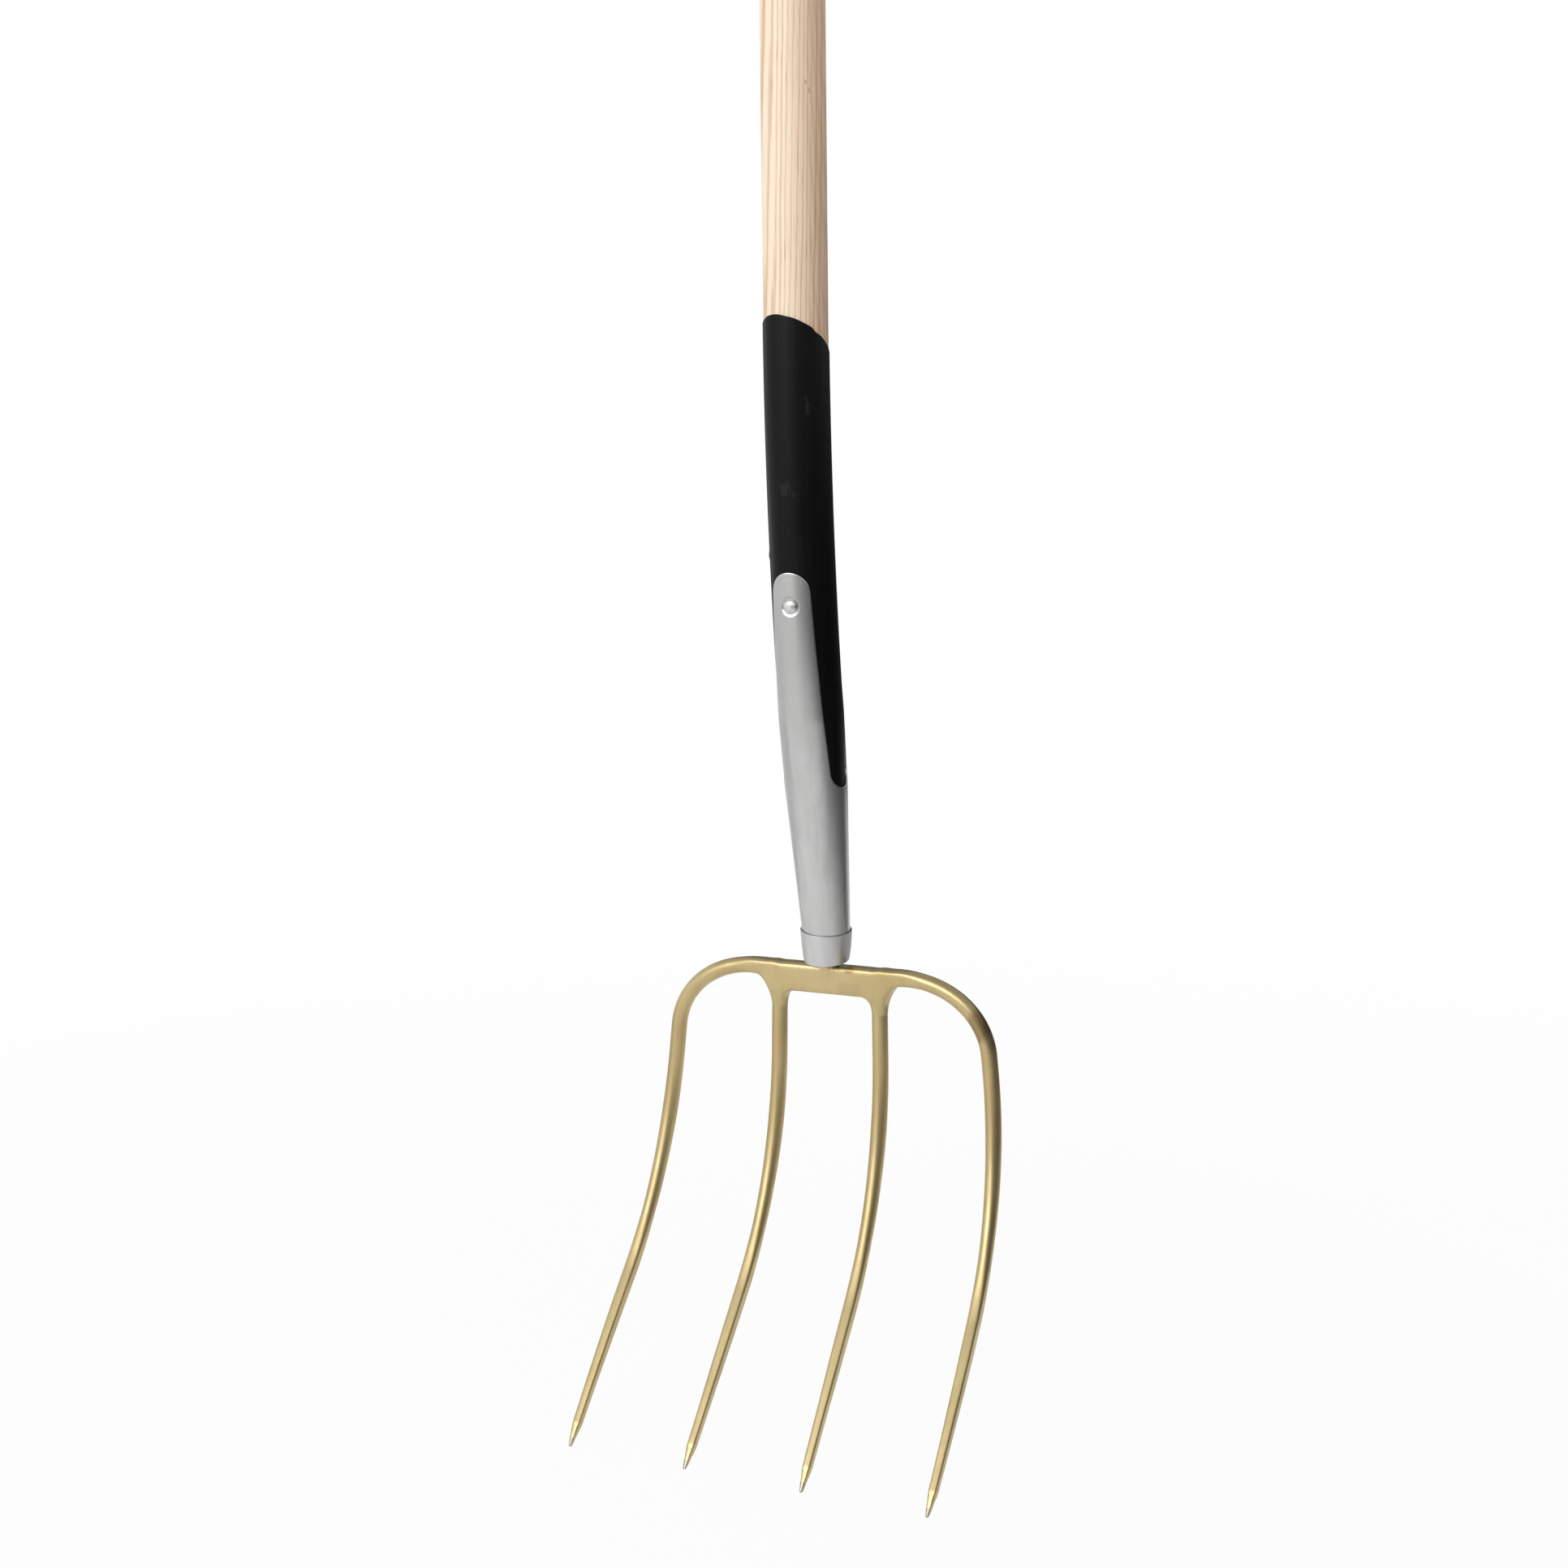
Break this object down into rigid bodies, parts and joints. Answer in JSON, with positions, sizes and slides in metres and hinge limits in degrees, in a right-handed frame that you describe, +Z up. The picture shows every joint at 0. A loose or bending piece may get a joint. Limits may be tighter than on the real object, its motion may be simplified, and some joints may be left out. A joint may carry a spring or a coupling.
{
  "type": "manure fork",
  "caption": "Long-handled manure fork: bent ash pole with a black sleeve, riveted strapped steel socket, ferrule and forged bronze-lacquered head with curved pointed tines",
  "frame": {"origin": "on the axis of the handle, where its straight run ends and its bend starts", "axes": "+Z up along the straight handle towards its butt, -Y to the front, where the tine points reach forwards, +X to the right across the head"},
  "size_m": [0.2418, 0.1441, 1.6428],
  "materials": {
    "ash_wood": "pale sanded ash with fine straight grain",
    "black_sleeve": "satin black shrunk sleeve",
    "silver_paint": "satin silver-grey paint on sheet steel",
    "bright_zinc": "bright zinc-plated steel",
    "bronze_lacquer": "bronze-gold lacquer on forged steel"
  },
  "bodies": {
    "root": {"handle": "ash_wood", "handle_sleeve": "black_sleeve", "strapped_socket": "silver_paint", "ferrule": "silver_paint", "rivet": "bright_zinc", "fork_head": "bronze_lacquer"}
  },
  "joints": []
}
